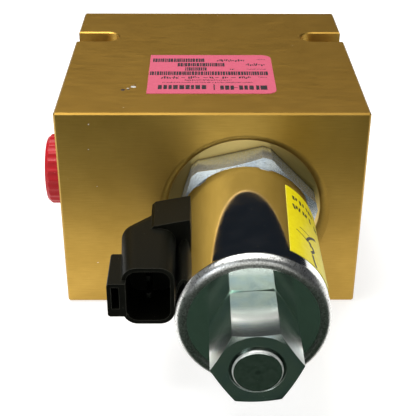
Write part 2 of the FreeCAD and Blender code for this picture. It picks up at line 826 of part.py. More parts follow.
def make_coil_overmould():
    """Plastic: the connector's housing and latch, the neck, and a sleeve round the winding."""
    body = new_body("coil_overmould")
    sketch = new_sketch(body, "housing_plan", "XZ_Plane")
    slope = "(elbow_front - elbow_rear) / (neck_left - elbow_left)"
    outline(sketch, [
        ("neck_left + elbow_inset", "elbow_rear - elbow_inset * " + slope),
        ("elbow_left", "elbow_front"),
        ("shroud_left", "shroud_front"),
        ("shroud_right", "shroud_front"),
        ("shroud_right", "elbow_rear"),
    ])
    extruded(body, "housing", sketch, "shroud_half * 2", both_ways=True)
    elbow = edges_where(body.Tip.Shape, lambda edge: at_height(edge, "elbow_front"))
    dressed(body, "elbow_round", "Fillet", elbow, "elbow_radius")
    sketch = new_sketch(body, "neck_outline", "XY_Plane", lift="neck_rear")
    outline(sketch, [
        ("-neck_start", "-neck_root_half"),
        ("-neck_start", "neck_root_half"),
        ("-sleeve_bore", "neck_root_half"),
        ("neck_left + neck_clip", "neck_tip_half"),
        ("neck_left", "neck_tip_half - neck_clip"),
        ("neck_left", "-(neck_tip_half - neck_clip)"),
        ("neck_left + neck_clip", "-neck_tip_half"),
        ("-sleeve_bore", "-neck_root_half"),
    ])
    extruded(body, "neck", sketch, "neck_front - neck_rear")
    make_socket(body)
    dressed(body, "housing_round", "Fillet", edges_where(body.Tip.Shape, runs_along_housing),
            "shroud_round")
    turned(body, "neck_root", box_corners(
        "0", "sleeve_bore + neck_bite", "neck_rear - beyond", "neck_front + beyond"), cuts=True)
    turned(body, "winding_cover", box_corners(
        "sleeve_bore", "(shell_radius - shell_wall)", "(shell_rear + rear_plate_thick)", "end_plate_rear"))
    make_latch(body)
    for number, side in enumerate(PIN_SIDES, start=1):
        bent_pin(body, "pin_hole_%d" % number, side, cuts=True)


def runs_along_housing(edge):
    """Whether an edge is a long one on the housing's upper or lower side, in front of the neck."""
    box = edge.BoundBox
    on_side = box.YMax - box.YMin < TOL and abs(abs(box.YMin) - value("shroud_half")) < TOL
    goes_forward = box.ZMax - box.ZMin > TOL
    at_right = abs(box.XMin - value("shroud_right")) < TOL
    return on_side and goes_forward and (at_right or box.XMax - box.XMin > TOL)


def make_latch(body):
    """The hollow latch frame on the housing's outer side."""
    sketch = new_sketch(body, "latch_outline", "XY_Plane", lift="latch_rear")
    outline(sketch, box_corners("latch_left", "shroud_left + shroud_wall", "-latch_half", "latch_half"))
    extruded(body, "latch", sketch, "latch_front - latch_rear")
    long_enough = value("latch_front - latch_rear") - TOL
    corners = edges_where(body.Tip.Shape, lambda edge: edge.BoundBox.XMax < value("latch_left") + TOL
                          and edge.BoundBox.ZMax - edge.BoundBox.ZMin > long_enough)
    dressed(body, "latch_corners", "Fillet", corners, "latch_round")
    sketch = new_sketch(body, "latch_opening", "XY_Plane", lift="latch_front")
    outline(sketch, box_corners("latch_left + latch_wall", "shroud_left - latch_gap",
                                "-(latch_half - latch_sill)", "latch_half - latch_wall"))
    extruded(body, "latch_window", sketch, "latch_depth", cuts=True)


def make_socket(body):
    """The open socket in the housing's front."""
    sketch = new_sketch(body, "socket_outline", "XY_Plane", lift="shroud_front")
    outline(sketch, box_corners("shroud_left + shroud_wall", "shroud_right - shroud_wall",
                                "-(shroud_half - shroud_wall)", "shroud_half - shroud_wall"))
    extruded(body, "socket", sketch, "socket_depth", cuts=True)
    floor = "shroud_front - socket_depth"
    corners = edges_where(body.Tip.Shape, lambda edge: abs(edge.BoundBox.ZMin - value(floor)) < TOL
                          and abs(edge.BoundBox.ZMax - value("shroud_front")) < TOL)
    dressed(body, "socket_corners", "Fillet", corners, "socket_round")


def bent_pin(body, name, side, cuts=False):
    """A square pin with a prong in the socket and a leg in to the winding, or the hole that fits it."""
    sketch = new_sketch(body, name + "_outline", "XZ_Plane", lift="%d * pin_half_pitch" % side)
    near, far = "pin_at + pin_width / 2", "pin_at - pin_width / 2"
    front, rear = "pin_elbow + pin_width / 2", "pin_elbow - pin_width / 2"
    outline(sketch, [
        (far, rear),
        ("pin_root", rear),
        ("pin_root", front),
        (near, front),
        (near, "pin_front"),
        (far, "pin_front"),
    ])
    extruded(body, name, sketch, "pin_width", cuts=cuts, both_ways=True)


def make_terminal_pins():
    for number, side in enumerate(PIN_SIDES, start=1):
        name = "terminal_pin_%d" % number
        body = new_body(name)
        bent_pin(body, name + "_blank", side)
        tip = edges_where(body.Tip.Shape, lambda edge: at_height(edge, "pin_front"))
        dressed(body, name + "_tip", "Chamfer", tip, "pin_tip")


# ---------------------------------------------------------------- the nut, the plug and the labels

def make_coil_nut():
    body = new_body("coil_nut")
    sketch = new_sketch(body, "nut_outline", "XY_Plane", lift="nut_rear")
    hexagon(sketch, "nut_flats", "nut_turn")
    extruded(body, "nut_pad", sketch, "nut_front - nut_rear")
    turned(body, "nut_bores", [
        ("0", "nut_rear - beyond"),
        ("nut_bore", "nut_rear - beyond"),
        ("nut_bore", "nut_front - (nut_mouth - nut_bore)"),
        ("nut_mouth", "nut_front"),
        ("nut_mouth", "nut_front + beyond"),
        ("0", "nut_front + beyond"),
    ], cuts=True)
    turned(body, "nut_seal_groove", box_corners(
        "nut_seal_inner", "nut_seal_outer", "nut_rear - beyond", "nut_rear + nut_seal_depth"), cuts=True)
    corner = "(nut_flats / 2 / cos(30) + beyond)"
    fall = "(%s - nut_chamfer) * tan(nut_chamfer_angle)" % corner
    for name, face, sign in (("front", "nut_front", "-"), ("rear", "nut_rear", "+")):
        turned(body, "nut_%s_chamfer" % name, [
            ("nut_chamfer", face),
            (corner, face),
            (corner, "%s %s %s" % (face, sign, fall)),
        ], cuts=True)


def place_on_side_port(thing, sunk="0"):
    """Stand a piece on the side port's axis, its own Z pointing out of the block's left face."""
    thing.Placement = Placement(Vector(0, 0, 0), Rotation(Vector(0, 1, 0), -90))
    bind(thing, "Placement.Base.x", "-block_width / 2 + " + sunk)
    bind(thing, "Placement.Base.y", "side_port_setback - block_depth / 2")
    bind(thing, "Placement.Base.z", "axis_height")


def make_port_plug():
    """The shipping plug: a hollow threaded shank under a head with a scalloped grip."""
    body = new_body("port_plug")
    place_on_side_port(body)
    turned(body, "plug", [
        ("0", "-plug_shank_length"),
        ("plug_shank - plug_lead", "-plug_shank_length"),
        ("plug_shank", "-plug_shank_length + plug_lead"),
        ("plug_shank", "plug_gap"),
        ("plug_head", "plug_gap"),
        ("plug_head", "plug_proud - plug_edge"),
        ("plug_head - plug_edge_inward", "plug_proud"),
        ("plug_hollow", "plug_proud"),
        ("plug_hollow", "plug_proud - plug_hollow_depth"),
        ("0", "plug_proud - plug_hollow_depth"),
    ])
    sketch = new_sketch(body, "grip_circle", "XY_Plane", lift="plug_gap + plug_scallop_from")
    circle(sketch, "plug_head + plug_scallop - plug_scallop_depth", "0", "plug_scallop")
    scallop = extruded(body, "grip_scallop", sketch, "plug_proud", cuts=True, backwards=True)
    repeated(body, "grip", scallop, "plug_scallops")
    first = "(-plug_shank_length + plug_thread_from)"
    ring = turned(body, "plug_thread_ring", [
        ("plug_shank + thread_crest", first + " - port_pitch / 2"),
        ("plug_shank + thread_crest", first + " + port_pitch / 2"),
        ("plug_shank - plug_thread_cut", first),
    ], cuts=True)
    repeated(body, "plug_thread", ring, "plug_turns", length="(plug_turns - 1) * port_pitch")


def make_labels():
    body = new_body("rating_label")
    body.Placement = Placement(Vector(0, 0, 0), Rotation())
    bind(body, "Placement.Base.x", "0")
    bind(body, "Placement.Base.y", "label_setback - block_depth / 2")
    bind(body, "Placement.Base.z", "block_height")
    sketch = new_sketch(body, "label_outline", "XY_Plane")
    outline(sketch, box_corners("-label_long / 2", "label_long / 2",
                                "-label_short / 2", "label_short / 2"))
    extruded(body, "label_pad", sketch, "label_thick")
    corners = edges_where(body.Tip.Shape, lambda edge: edge.BoundBox.ZMax - edge.BoundBox.ZMin > TOL
                          and edge.BoundBox.XMin > 0)
    dressed(body, "label_corners", "Fillet", corners, "label_corner")
    body = new_body("coil_label", turn=value("coil_label_start"))
    turned(body, "label_wrap", box_corners("shell_radius", "shell_radius + label_thick",
                                           "coil_label_rear", "coil_label_front"),
           sweep="coil_label_sweep")


# ---------------------------------------------------------------- seals

def make_seals():
    o_ring("body_seal", "body_seal_ring", "body_seal_section", "-body_seal_at")
    o_ring("tube_seal", "tube_seal_ring", "tube_seal_section", "foot_rear + foot_length / 2")
    o_ring("coil_rear_seal", "rear_seal_ring", "rear_seal_section", "rear_seal_at")
    o_ring("nut_seal", "nut_seal_ring", "nut_seal_section", "nut_seal_at")
    place_on_side_port(o_ring("plug_seal", "plug_seal_ring", "plug_seal_section"), "plug_seal_sunk")
    number = 1
    for level in ("upper", "lower"):
        gland, bore, top = level + "_gland", level + "_bore", level + "_gland_top"
        o_ring(level + "_cage_seal", "(%s + %s) / 2" % (gland, bore),
               "(%s - %s) / 2 - cage_seal_play" % (bore, gland), "-(%s + gland_width / 2)" % top)
        for near in ("backup_play", "gland_width - backup_play - backup_width"):
            washer("backup_ring_%d" % number, gland + " + backup_play", bore + " - backup_bore_play",
                   "-(%s + %s + backup_width)" % (top, near), "-(%s + %s)" % (top, near))
            number += 1


# ---------------------------------------------------------------- build, check and write

make_block()
make_cartridge_body()
make_cage()
make_retaining_ring()
make_spool()
make_spool_stem()
make_armature()
make_return_spring()
make_guide_tube()
make_pole_piece()
washer("tube_lock_ring", "lock_ring_inner", "lock_ring_outer", "foot_rear + foot_length + lock_ring_play",
       "foot_rear + foot_length + lock_ring_play + lock_ring_thick")
washer("stroke_shim", "shim_inner", "shim_outer", "pole_rear - shim_thick", "pole_rear")
make_coil_shell()
make_coil_inside()
make_coil_overmould()
make_terminal_pins()
make_coil_nut()
make_port_plug()
make_labels()
make_seals()
doc.recompute()

for thing in doc.Objects:
    if "Invalid" in thing.State or "Error" in thing.State:
        raise RuntimeError("%s failed: %s" % (thing.Name, thing.State))
for part in parts:
    if part.Shape.isNull() or not part.Shape.isValid():
        raise RuntimeError(part.Label + " has no valid shape")

os.makedirs("parts", exist_ok=True)
for part in parts:
    part.Shape.exportStep(os.path.join("parts", part.Label + ".step"))
    box = part.Shape.BoundBox
    print("%-20s %9.1f mm3, %d solid(s), x %.2f..%.2f y %.2f..%.2f z %.2f..%.2f" % (
        part.Label, part.Shape.Volume, len(part.Shape.Solids),
        box.XMin, box.XMax, box.YMin, box.YMax, box.ZMin, box.ZMax))
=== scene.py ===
import json
import math
import random

import bmesh
import bpy
from mathutils import Matrix, Vector


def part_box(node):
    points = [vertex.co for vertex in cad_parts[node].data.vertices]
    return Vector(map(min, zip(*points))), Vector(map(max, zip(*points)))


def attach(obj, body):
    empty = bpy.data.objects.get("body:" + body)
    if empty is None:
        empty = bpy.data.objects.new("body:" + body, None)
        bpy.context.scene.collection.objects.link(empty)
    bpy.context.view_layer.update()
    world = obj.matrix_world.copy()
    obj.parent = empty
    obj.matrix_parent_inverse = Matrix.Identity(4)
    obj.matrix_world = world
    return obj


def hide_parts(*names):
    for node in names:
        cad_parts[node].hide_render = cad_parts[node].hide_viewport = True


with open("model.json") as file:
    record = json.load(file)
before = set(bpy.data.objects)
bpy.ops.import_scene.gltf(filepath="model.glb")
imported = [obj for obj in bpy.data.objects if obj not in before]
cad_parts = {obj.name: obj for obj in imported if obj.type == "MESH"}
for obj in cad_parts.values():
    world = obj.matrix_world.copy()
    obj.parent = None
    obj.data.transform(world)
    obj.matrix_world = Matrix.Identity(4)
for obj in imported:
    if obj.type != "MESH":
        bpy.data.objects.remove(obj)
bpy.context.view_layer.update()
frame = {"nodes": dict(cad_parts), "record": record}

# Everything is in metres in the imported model's frame: +Z up, the valve axis along Y, the coil towards -Y.
MM = 0.001
NODES = frame["nodes"]
SEED = 11


def low_corner(node):
    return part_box(node)[0]


def high_corner(node):
    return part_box(node)[1]


def middle(node):
    return (low_corner(node) + high_corner(node)) / 2


AXIS_X = middle("coil_nut").x
AXIS_Z = middle("coil_nut").z
FACE_Y = low_corner("manifold_block").y
BLOCK_TOP = high_corner("manifold_block").z
RIM_Y = low_corner("coil_shell").y
STUB_Y = low_corner("pole_piece").y
NUT_Y = low_corner("coil_nut").y
FILM_RADIUS = high_corner("coil_label").x - AXIS_X
LABEL_LEFT = low_corner("rating_label").x
LABEL_TOP = high_corner("rating_label").z
LABEL_FAR = high_corner("rating_label").y


# ---------------------------------------------------------------- the camera

CAMERA_PLACE = Vector((-4.041, -284.816, 169.362)) * MM
CAMERA_PITCH = math.radians(30.646)
CAMERA_YAW = math.radians(-0.708)
CAMERA_ROLL = math.radians(0.322)
CAMERA_LENS = 81.19
CAMERA_SENSOR = 36.0
CAMERA_SHIFT = 0.0449
CAMERA_CLIP = 10 * MM


def add_camera():
    data = bpy.data.cameras.new("camera")
    data.sensor_width = CAMERA_SENSOR
    data.lens = CAMERA_LENS
    data.shift_y = CAMERA_SHIFT
    data.clip_start = CAMERA_CLIP
    camera = bpy.data.objects.new("camera", data)
    level = Matrix.Rotation(math.pi / 2 - CAMERA_PITCH, 4, "X")
    turn = Matrix.Rotation(CAMERA_YAW, 4, "Z")
    roll = Matrix.Rotation(CAMERA_ROLL, 4, "Z")
    camera.matrix_world = Matrix.Translation(CAMERA_PLACE) @ turn @ level @ roll
    bpy.context.scene.collection.objects.link(camera)
    bpy.context.scene.camera = camera


# ---------------------------------------------------------------- node materials

class Finish:
    """A node material under construction. Places are the mesh's own coordinates, in metres."""

    def __init__(self, name, color, roughness, metallic=0.0, **sockets):
        self.material = bpy.data.materials.new(name)
        self.material.use_nodes = True
        self.tree = self.material.node_tree
        self.surface = self.tree.nodes["Principled BSDF"]
        self.place = self.tree.nodes.new("ShaderNodeTexCoord").outputs["Object"]
        self.height = None
        self.set("Base Color", color)
        self.set("Roughness", roughness)
        self.set("Metallic", metallic)
        for socket, number in sockets.items():
            self.set(socket.replace("_", " "), number)

    def feed(self, socket, value):
        """Link an output, or set a plain number or colour."""
        if isinstance(value, bpy.types.NodeSocket):
            self.tree.links.new(value, socket)
        elif isinstance(value, (tuple, list)) and socket.type == "RGBA":
            socket.default_value = (*value[:3], 1.0)
        else:
            socket.default_value = value

    def set(self, name, value):
        self.feed(self.surface.inputs[name], value)

    def node(self, kind, values=(), **settings):
        """A node with its settings and its first inputs."""
        made = self.tree.nodes.new(kind)
        for key, setting in settings.items():
            setattr(made, key, setting)
        for socket, value in zip(made.inputs, values):
            self.feed(socket, value)
        return made

    def math(self, operation, *values):
        return self.node("ShaderNodeMath", values, operation=operation).outputs[0]

    def part(self, axis):
        """One coordinate of the place."""
        return self.node("ShaderNodeSeparateXYZ", (self.place,)).outputs[axis]

    def normal(self, axis):
        """One coordinate of the surface's direction."""
        facing = self.node("ShaderNodeNewGeometry").outputs["Normal"]
        return self.node("ShaderNodeSeparateXYZ", (facing,)).outputs[axis]

    def behind(self, plane):
        """Distance towards +Y from a plane."""
        return self.math("SUBTRACT", self.part(1), plane)

    def stretched(self, scale):
        return self.node("ShaderNodeVectorMath", (self.place, scale), operation="MULTIPLY").outputs[0]

    def noise(self, size, detail=3.0, stretch=(1, 1, 1), rough=0.55):
        """Noise with features of a size in metres, from 0 to 1."""
        made = self.node("ShaderNodeTexNoise")
        self.feed(made.inputs["Vector"], self.stretched(stretch))
        self.feed(made.inputs["Scale"], 1 / size)
        self.feed(made.inputs["Detail"], detail)
        self.feed(made.inputs["Roughness"], rough)
        return made.outputs["Fac"]

    def specks(self, spacing, share):
        """1 in small scattered grains and 0 elsewhere; share is a grain's radius over the spacing."""
        cells = self.node("ShaderNodeTexVoronoi")
        self.feed(cells.inputs["Vector"], self.place)
        self.feed(cells.inputs["Scale"], 1 / spacing)
        return self.remap(cells.outputs["Distance"], share, share * 0.6, 0, 1)

    def remap(self, value, low, high, to_low=0.0, to_high=1.0):
        return self.node("ShaderNodeMapRange", (value, low, high, to_low, to_high)).outputs[0]

    def above(self, length, level, soft, most=1.0):
        """From 0 to the most as a length in metres passes a level in mm, over a soft step."""
        return self.remap(length, (level - soft) * MM, (level + soft) * MM, 0, most)

    def below(self, length, level, soft, most=1.0):
        """From the most to 0 as a length in metres passes a level in mm, over a soft step."""
        return self.remap(length, (level - soft) * MM, (level + soft) * MM, most, 0)

    def times(self, first, second):
        return self.math("MULTIPLY", first, second)

    def mix(self, share, first, second):
        """Blend two colours."""
        made = self.node("ShaderNodeMix", data_type="RGBA")
        self.feed(made.inputs[0], share)
        self.feed(made.inputs[6], first)
        self.feed(made.inputs[7], second)
        return made.outputs[2]

    def from_axis(self):
        """Distance from the valve axis."""
        x = self.math("SUBTRACT", self.part(0), AXIS_X)
        z = self.math("SUBTRACT", self.part(2), AXIS_Z)
        return self.math("SQRT", self.math("ADD", self.times(x, x), self.times(z, z)))

    def round_axis(self):
        """Direction round the valve axis, for turned surfaces."""
        out = self.node("ShaderNodeVectorMath", (self.place, (AXIS_X, 0, AXIS_Z)), operation="SUBTRACT")
        made = self.node("ShaderNodeVectorMath", ((0, 1, 0), out.outputs[0]), operation="CROSS_PRODUCT")
        return self.node("ShaderNodeVectorMath", (made.outputs[0],), operation="NORMALIZE").outputs[0]

    def ripples(self, length, pitch):
        """A sine wave along a length in metres; the pitch is in mm."""
        return self.math("SINE", self.times(length, 2 * math.pi / (pitch * MM)))

    def edges(self, radius):
        """1 on sharp edges and 0 on flats, from a rounded normal."""
        soft = self.node("ShaderNodeBevel", (radius,), samples=4).outputs[0]
        sharp = self.node("ShaderNodeNewGeometry").outputs["Normal"]
        same = self.node("ShaderNodeVectorMath", (soft, sharp), operation="DOT_PRODUCT").outputs["Value"]
        return self.remap(self.math("SUBTRACT", 1.0, same), 0.02, 0.25)

    def bump(self, height, depth, strength=1.0):
        """Add relief; depth is the height in metres of a full step."""
        made = self.node("ShaderNodeBump")
        made.inputs["Strength"].default_value = strength
        made.inputs["Distance"].default_value = depth
        self.feed(made.inputs["Height"], height)
        if self.height is not None:
            self.feed(made.inputs["Normal"], self.height)
        self.height = made.outputs["Normal"]
        self.set("Normal", self.height)


GOLD = (0.43, 0.262, 0.050)
GOLD_LIGHT = (0.53, 0.33, 0.070)
GOLD_DEEP = (0.31, 0.18, 0.030)
GOLD_TOP_SHADE = (0.43, 0.235, 0.040)
GOLD_EDGE_WEAR_AND_HIGHLIGHT = (0.80, 0.58, 0.22)
GOLD_SPOTFACE_HIGHLIGHT = (0.86, 0.64, 0.24)
GOLD_SPOT = (0.95, 0.86, 0.6)
ZINC_EDGE_WEAR_AND_HIGHLIGHT = (0.9, 0.9, 0.88)
ZINC_BAND_HIGHLIGHT = (0.97, 0.98, 0.95)
PAINTED_CONTACT_SHADE = (0.03, 0.025, 0.012)
STUB_DARK = (0.46, 0.50, 0.46)
STUB_LIGHT = (0.58, 0.62, 0.58)
STUB_DOT = (0.12, 0.13, 0.12)
STUB_RING_HIGHLIGHT = (0.9, 0.9, 0.87)
SHELL_BRIGHT = (0.86, 0.86, 0.83)
SHELL_TORN = (0.10, 0.088, 0.07)
PLATE_BRIGHT = (0.86, 0.94, 0.89)
PLATE_DULL = (0.70, 0.78, 0.72)
INK_THICK = (0.012, 0.008, 0.01)
INK_THIN = (0.2, 0.09, 0.11)
WIRE_GROOVE_SHADE = (0.2, 0.06, 0.02)
WIRE_BRIGHT = (0.62, 0.25, 0.09)
METAL_BRIGHT = (0.92, 0.92, 0.88)
METAL_DULL = (0.6, 0.58, 0.5)

# radii from the valve axis and depths from a front plane, in mm
SPOTFACE_RADIUS = 22.7
SPOTFACE_REACH = 7.0
LIP_RADIUS = 24.2
LIP_WIDTH = 2.2
LIP_HEIGHT = 2.7
CONTACT_SHADE_DEPTH = 1.7
NUT_SHADE_DEPTH = 4.0
NUT_HIGHLIGHT_FROM = 5.75
NUT_HIGHLIGHT_TO = 10.75
STUB_END_DEPTH = 0.8
STUB_RING_RADIUS = 5.63
STUB_DOT_RADIUS = 0.625
RIM_DEPTH = 2.45
RIM_INNER_RADIUS = 18.45
WIRE_PITCH = 0.4
TURNING_PITCH = 0.4


def shade(color, *parts):
    """A colour with one part for all three channels, or one part for each."""
    if len(parts) == 1:
        parts = parts * 3
    return tuple(c * part for c, part in zip(color, parts))


def gold_anodised():
    """Gold-anodised milled aluminium: rolled grain, cloudy tone, paler edges that are partly wear and partly
    a painted highlight, painted shade on faces that look up, and a turned spotface with a painted highlight.
    """
    m = Finish("gold_anodised", GOLD, 0.4, metallic=0.95)
    in_front = m.below(m.behind(FACE_Y), SPOTFACE_REACH, 1.0)
    turned = m.times(in_front, m.below(m.from_axis(), SPOTFACE_RADIUS, 0.1))
    milled = m.math("SUBTRACT", 1.0, turned)
    cloud = m.noise(16 * MM, 4)
    grain = m.noise(0.35 * MM, 5, stretch=(0.06, 1.0, 1.0))
    tone = m.mix(m.remap(cloud, 0.3, 0.7), GOLD, GOLD_LIGHT)
    tone = m.mix(m.times(milled, m.remap(grain, 0.35, 0.75, 0, 0.3)), tone, GOLD_DEEP)
    # Painted shade: faces that look up are tinted darker and more orange than the rest of the gold.
    tone = m.mix(m.remap(m.normal(2), 0.3, 0.9), tone, m.mix(0.6, tone, GOLD_TOP_SHADE))
    # Painted highlight: the turned spotface is lightened towards a bright gold, on top of its anisotropic
    # sheen.
    tone = m.mix(m.times(turned, 0.8), tone, GOLD_SPOTFACE_HIGHLIGHT)
    # Paler edges: partly edge wear, partly a painted highlight along the block's edges.
    tone = m.mix(m.times(m.edges(0.25 * MM), 0.18), tone, GOLD_EDGE_WEAR_AND_HIGHLIGHT)
    spots = m.specks(7 * MM, 0.028)
    m.set("Base Color", m.mix(m.times(spots, 0.7), tone, GOLD_SPOT))
    rough = m.times(milled, m.remap(grain, 0.3, 0.7, 0.08, 0.18))
    m.set("Roughness", m.math("ADD", rough, 0.29))
    m.set("Anisotropic", m.times(turned, 0.85))
    m.set("Anisotropic Rotation", 0.25)
    m.set("Tangent", m.round_axis())
    lip = m.times(in_front, m.below(m.from_axis(), LIP_RADIUS, LIP_WIDTH / 2))
    m.bump(m.math("SUBTRACT", lip, m.times(m.times(lip, lip), 0.5)), LIP_HEIGHT * MM)
    m.bump(m.times(grain, milled), 0.008 * MM, 0.5)
    m.bump(m.times(spots, milled), -0.05 * MM)
    return m.material


def zinc_plate(name="zinc_plate", color=(0.62, 0.63, 0.58), sparkle=0.5, roughness=0.2, metallic=1.0):
    """Bright zinc over machined steel: grainy and mottled, with paler edges that are partly wear and partly a
    painted highlight, painted shade inside the spotface, painted shade on the nut's flats near its front, and
    a painted highlight band across the nut's flats.
    """
    m = Finish(name, color, roughness, metallic=metallic)
    grain = m.noise(0.28 * MM, 4)
    mottle = m.noise(3.5 * MM, 3)
    tint = m.mix(m.remap(mottle, 0.35, 0.7), color, shade(color, 0.80, 0.86, 0.98))
    tint = m.mix(m.remap(grain, 0.5, 0.75, 0, 0.9 * sparkle), tint, shade(color, 0.4, 0.4, 0.36))
    # Paler edges: partly edge wear, partly a painted highlight along the zinc's edges and chamfers.
    tint = m.mix(m.times(m.edges(0.2 * MM), 0.6), tint, ZINC_EDGE_WEAR_AND_HIGHLIGHT)
    # Painted shade: zinc lying deeper than the block's face, where the hex sits in the spotface, is darkened
    # almost to black.
    tint = m.mix(m.above(m.behind(FACE_Y), CONTACT_SHADE_DEPTH, 0.5, 0.88), tint, PAINTED_CONTACT_SHADE)
    flat = m.remap(m.normal(1), -0.9, -0.5)
    # Painted shade: the nut's flats darken towards its front end.
    shaded = m.times(flat, m.below(m.behind(NUT_Y), NUT_SHADE_DEPTH, 2.5, 0.75))
    # Painted highlight: a pale band across the nut's flats, between two depths behind its front.
    highlight_band = m.math("MINIMUM", m.above(m.behind(NUT_Y), NUT_HIGHLIGHT_FROM, 1.25),
                    m.below(m.behind(NUT_Y), NUT_HIGHLIGHT_TO, 1.25))
    tint = m.mix(m.times(highlight_band, flat), tint, ZINC_BAND_HIGHLIGHT)
    m.set("Base Color", m.mix(shaded, tint, shade(color, 0.2)))
    m.set("Roughness", m.remap(grain, 0.3, 0.7, roughness - 0.03, roughness + 0.14 * sparkle))
    m.bump(grain, 0.02 * MM, sparkle)
    return m.material


def stub_steel():
    """The threaded stub: a dark, smooth end with a painted highlight ring round its edge and a small centre
    mark.
    """
    m = Finish("stub_steel", STUB_DARK, 0.16, metallic=1.0)
    at_end = m.below(m.behind(STUB_Y), STUB_END_DEPTH, 0.2)
    ring = m.times(at_end, m.above(m.from_axis(), STUB_RING_RADIUS, 0.07))
    dot = m.times(at_end, m.below(m.from_axis(), STUB_DOT_RADIUS, 0.125))
    haze = m.noise(1.2 * MM, 4)
    tone = m.mix(m.remap(haze, 0.35, 0.7), STUB_DARK, STUB_LIGHT)
    tone = m.mix(m.times(dot, 0.35), tone, STUB_DOT)
    # Painted highlight: a pale ring round the stub's rounded edge, broken up by noise.
    patchy = m.remap(m.noise(1.6 * MM, 3), 0.35, 0.6, 0.15, 1.0)
    m.set("Base Color", m.mix(m.times(ring, patchy), tone, STUB_RING_HIGHLIGHT))
    m.set("Metallic", m.remap(ring, 0, 1, 1.0, 0.5))
    m.set("Roughness", m.math("ADD", m.remap(haze, 0.3, 0.7, 0.1, 0.2), m.times(ring, 0.3)))
    m.bump(haze, 0.01 * MM, 0.4)
    return m.material


def mirror_shell():
    """Polished plated can; the rolled rim is coarser, with torn bright and dark grains."""
    m = Finish("mirror_shell", SHELL_BRIGHT, 0.07, metallic=1.0)
    rim = m.below(m.behind(RIM_Y), RIM_DEPTH, 0.45)
    inner = m.times(rim, m.below(m.from_axis(), RIM_INNER_RADIUS, 0.45))
    torn = m.noise(0.42 * MM, 5, stretch=(1, 0.6, 1), rough=0.7)
    haze = m.noise(5 * MM, 3)
    patchy = m.times(rim, m.remap(torn, 0.5, 0.62, 0, 0.75))
    # Towards the rim's inner edge the can is darker all over, not only in its grains.
    patchy = m.math("MAXIMUM", patchy, m.times(inner, m.remap(torn, 0.38, 0.6, 0.35, 0.8)))
    m.set("Base Color", m.mix(patchy, SHELL_BRIGHT, SHELL_TORN))
    smooth = m.remap(haze, 0.3, 0.7, 0.06, 0.11)
    m.set("Roughness", m.math("ADD", smooth, m.times(rim, 0.24)))
    m.bump(m.times(torn, rim), 0.06 * MM, 0.5)
    m.bump(m.specks(2.4 * MM, 0.03), 0.02 * MM, 0.6)
    return m.material


def mirror_plate():
    """The coil's end disc: bright, faintly green, with fine turning and a few scratches."""
    m = Finish("mirror_plate", PLATE_BRIGHT, 0.1, metallic=1.0)
    haze = m.noise(2.2 * MM, 4)
    scratch = m.noise(0.25 * MM, 2, stretch=(0.05, 1, 0.7))
    m.set("Base Color", m.mix(m.remap(haze, 0.35, 0.75), PLATE_BRIGHT, PLATE_DULL))
    m.set("Roughness", m.math("ADD", m.remap(haze, 0.3, 0.7, 0.06, 0.13), m.remap(scratch, 0.7, 0.8, 0, 0.2)))
    m.bump(m.ripples(m.from_axis(), TURNING_PITCH), 0.0006 * MM, 0.5)
    return m.material


def ground_steel(name="ground_steel", color=(0.46, 0.46, 0.46)):
    """Ground metal: a fine grain along one way and a few stains."""
    m = Finish(name, color, 0.3, metallic=1.0)
    grain = m.noise(0.3 * MM, 4, stretch=(1, 0.08, 1))
    stain = m.noise(4 * MM, 3)
    m.set("Base Color", m.mix(m.remap(stain, 0.4, 0.7), color, shade(color, 0.7)))
    m.set("Roughness", m.remap(grain, 0.3, 0.7, 0.2, 0.42))
    m.bump(grain, 0.006 * MM, 0.5)
    return m.material


def moulded(name, color, pale, roughness, shine=0.4):
    """Moulded plastic: a fine texture, cloudy gloss, paler edges that are partly scuffing and partly a
    painted highlight, and dust.
    """
    m = Finish(name, color, roughness, Specular_IOR_Level=shine)
    grain = m.noise(0.35 * MM, 3)
    cloud = m.noise(6 * MM, 3)
    tone = m.mix(m.remap(cloud, 0.35, 0.7, 0, 0.5), color, shade(color, 0.75))
    # Paler edges: partly scuffing, partly a painted highlight along the edges.
    tone = m.mix(m.times(m.edges(0.2 * MM), 0.5), tone, pale)
    m.set("Base Color", m.mix(m.times(m.specks(3.1 * MM, 0.035), 0.8), tone, pale))
    m.set("Roughness", m.remap(grain, 0.3, 0.7, roughness - 0.07, roughness + 0.08))
    m.bump(grain, 0.01 * MM, 0.5)
    return m.material


def printed_film(name, color, patchy, border, roughness):
    """A label's film: uneven ink, a slightly wavy surface and a border colour along its edges."""
    m = Finish(name, color, roughness, Specular_IOR_Level=0.25)
    ink = m.noise(1.4 * MM, 4)
    waves = m.noise(7 * MM, 2)
    tone = m.mix(m.remap(ink, 0.35, 0.7, 0, 0.6), color, patchy)
    # The edges take a border colour: darker on the pink label, paler on the yellow one.
    m.set("Base Color", m.mix(m.times(m.edges(0.3 * MM), 0.3), tone, border))
    m.set("Roughness", m.remap(ink, 0.3, 0.7, roughness - 0.05, roughness + 0.08))
    m.bump(waves, 0.05 * MM, 0.35)
    m.bump(m.noise(0.2 * MM, 2), 0.003 * MM, 0.4)
    return m.material


def ink_for_print_and_shadow():
    """Dark ink for the print and for the nick's painted shadows: dark, and thinner in places."""
    m = Finish("ink_for_print_and_shadow", INK_THICK, 0.5)
    thin = m.noise(0.5 * MM, 3)
    m.set("Base Color", m.mix(m.remap(thin, 0.5, 0.75, 0, 0.3), INK_THICK, INK_THIN))
    m.set("Roughness", m.remap(thin, 0.3, 0.7, 0.42, 0.6))
    return m.material


def enamelled_wire():
    """A wound coil: fine turns along the axis, with painted shade in the grooves between them."""
    m = Finish("enamelled_wire", WIRE_BRIGHT, 0.3, metallic=0.9)
    turns = m.ripples(m.part(1), WIRE_PITCH)
    m.set("Base Color", m.mix(m.remap(turns, -1, 0.4), WIRE_GROOVE_SHADE, WIRE_BRIGHT))
    m.set("Roughness", m.remap(m.noise(1.5 * MM), 0.3, 0.7, 0.22, 0.4))
    m.bump(turns, 0.1 * MM, 0.8)
    return m.material


